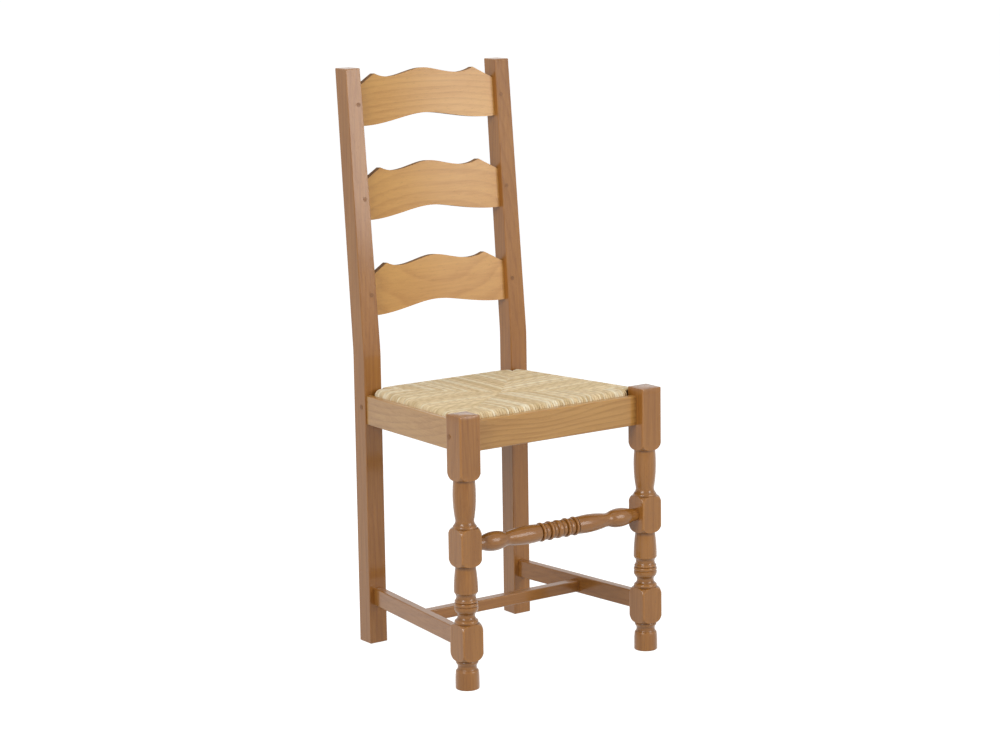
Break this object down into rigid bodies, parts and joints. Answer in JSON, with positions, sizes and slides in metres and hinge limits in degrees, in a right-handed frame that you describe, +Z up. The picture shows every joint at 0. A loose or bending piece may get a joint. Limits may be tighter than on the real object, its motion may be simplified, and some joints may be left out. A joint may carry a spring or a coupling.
{
  "type": "ladderback_chair",
  "caption": "Ladderback dining chair with turned front legs, raked square back posts, shaped bowed slats and a woven rush seat set into the seat rails",
  "frame": {"origin": "On the floor, under the middle of the chair's bounding box", "axes": "+Z up; +Y from the front legs to the back posts; +X to the right of someone who faces the chair"},
  "size_m": [0.4454, 0.4421, 1.07],
  "materials": {
    "stained_wood": "honey-stained hardwood with a satin varnish, darker in the turned grooves",
    "plain_wood": "unfinished sawn softwood, hidden under the seat",
    "peg_wood": "end grain of round pegs, stained a little darker than the frame",
    "rush": "hand-twisted dry rush cord, straw with pale and olive strands"
  },
  "bodies": {
    "root": {"front_leg_left": "stained_wood", "front_leg_right": "stained_wood", "back_post_left": "stained_wood", "back_post_right": "stained_wood", "top_slat": "stained_wood", "middle_slat": "stained_wood", "lower_slat": "stained_wood", "front_rail": "stained_wood", "back_rail": "stained_wood", "side_rail_left": "stained_wood", "side_rail_right": "stained_wood", "side_stretcher_left": "stained_wood", "side_stretcher_right": "stained_wood", "cross_stretcher": "stained_wood", "turned_front_stretcher": "stained_wood", "seat_frame_front": "plain_wood", "seat_frame_back": "plain_wood", "seat_frame_left": "plain_wood", "seat_frame_right": "plain_wood", "front_corner_block_left": "plain_wood", "front_corner_block_right": "plain_wood", "back_corner_block_left": "plain_wood", "back_corner_block_right": "plain_wood", "rush_seat": "rush", "slat_pegs": "peg_wood", "rail_pegs": "peg_wood"}
  },
  "joints": []
}
